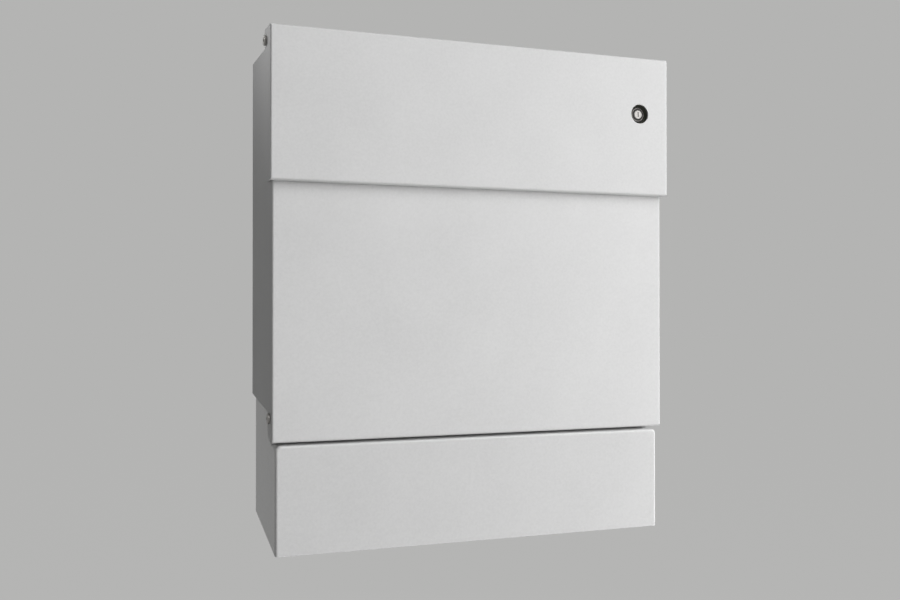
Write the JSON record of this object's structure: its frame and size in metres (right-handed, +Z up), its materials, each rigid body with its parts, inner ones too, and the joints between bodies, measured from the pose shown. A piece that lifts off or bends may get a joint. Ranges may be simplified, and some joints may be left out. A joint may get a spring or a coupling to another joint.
{
  "type": "wall-mounted letterbox",
  "caption": "Wall-mounted sheet steel letterbox with a lifting flap over the letter slot, a locking door that tilts forward and a fixed tray below, screwed to a wall through its back.",
  "frame": {"origin": "middle of the four wall holes, on the back face that lies on the wall", "axes": "+Z up, +Y into the wall, so the front faces -Y, and +X to the right as seen from the front"},
  "size_m": [0.415, 0.111, 0.48],
  "materials": {
    "powder_coated_steel": "white powder coat, fine texture, satin",
    "stainless_steel": "plain stainless",
    "nylon": "natural nylon",
    "black_zinc": "black coated zinc die casting",
    "nickel_plate": "bright nickel",
    "zinc_plated_steel": "bright zinc plate",
    "rubber": "matt black rubber"
  },
  "bodies": {
    "housing": {"door_bumper_left": "rubber", "door_bumper_right": "rubber", "door_pivot_nut_left": "stainless_steel", "door_pivot_nut_right": "stainless_steel", "door_pivot_screw_left": "stainless_steel", "door_pivot_screw_right": "stainless_steel", "door_pivot_washer_left": "nylon", "door_pivot_washer_right": "nylon", "housing_back": "powder_coated_steel", "housing_front": "powder_coated_steel"},
    "door": {"door_panel": "powder_coated_steel", "flap_bumper_left": "rubber", "flap_bumper_right": "rubber", "flap_pivot_nut_left": "stainless_steel", "flap_pivot_nut_right": "stainless_steel", "flap_pivot_screw_left": "stainless_steel", "flap_pivot_screw_right": "stainless_steel", "flap_pivot_washer_left": "nylon", "flap_pivot_washer_right": "nylon", "lock_body": "black_zinc", "lock_nut": "zinc_plated_steel"},
    "flap": {"flap_panel": "powder_coated_steel"},
    "lock_core": {"lock_plug": "nickel_plate", "lock_cam": "zinc_plated_steel", "lock_cam_screw": "zinc_plated_steel"}
  },
  "joints": [
    {"name": "door_tilt", "type": "hinge", "parent": "housing", "child": "door", "pos_m": [0, -0.0927, -0.1345], "axis": [1, 0, 0], "range_deg": [0, 80]},
    {"name": "flap_lift", "type": "hinge", "parent": "door", "child": "flap", "pos_m": [0, -0.0915, 0.2095], "axis": [-1, 0, 0], "range_deg": [0, 80]},
    {"name": "lock_turn", "type": "hinge", "parent": "door", "child": "lock_core", "pos_m": [0.1727, -0.1, 0.1635], "axis": [0, -1, 0], "range_deg": [0, 90]}
  ]
}
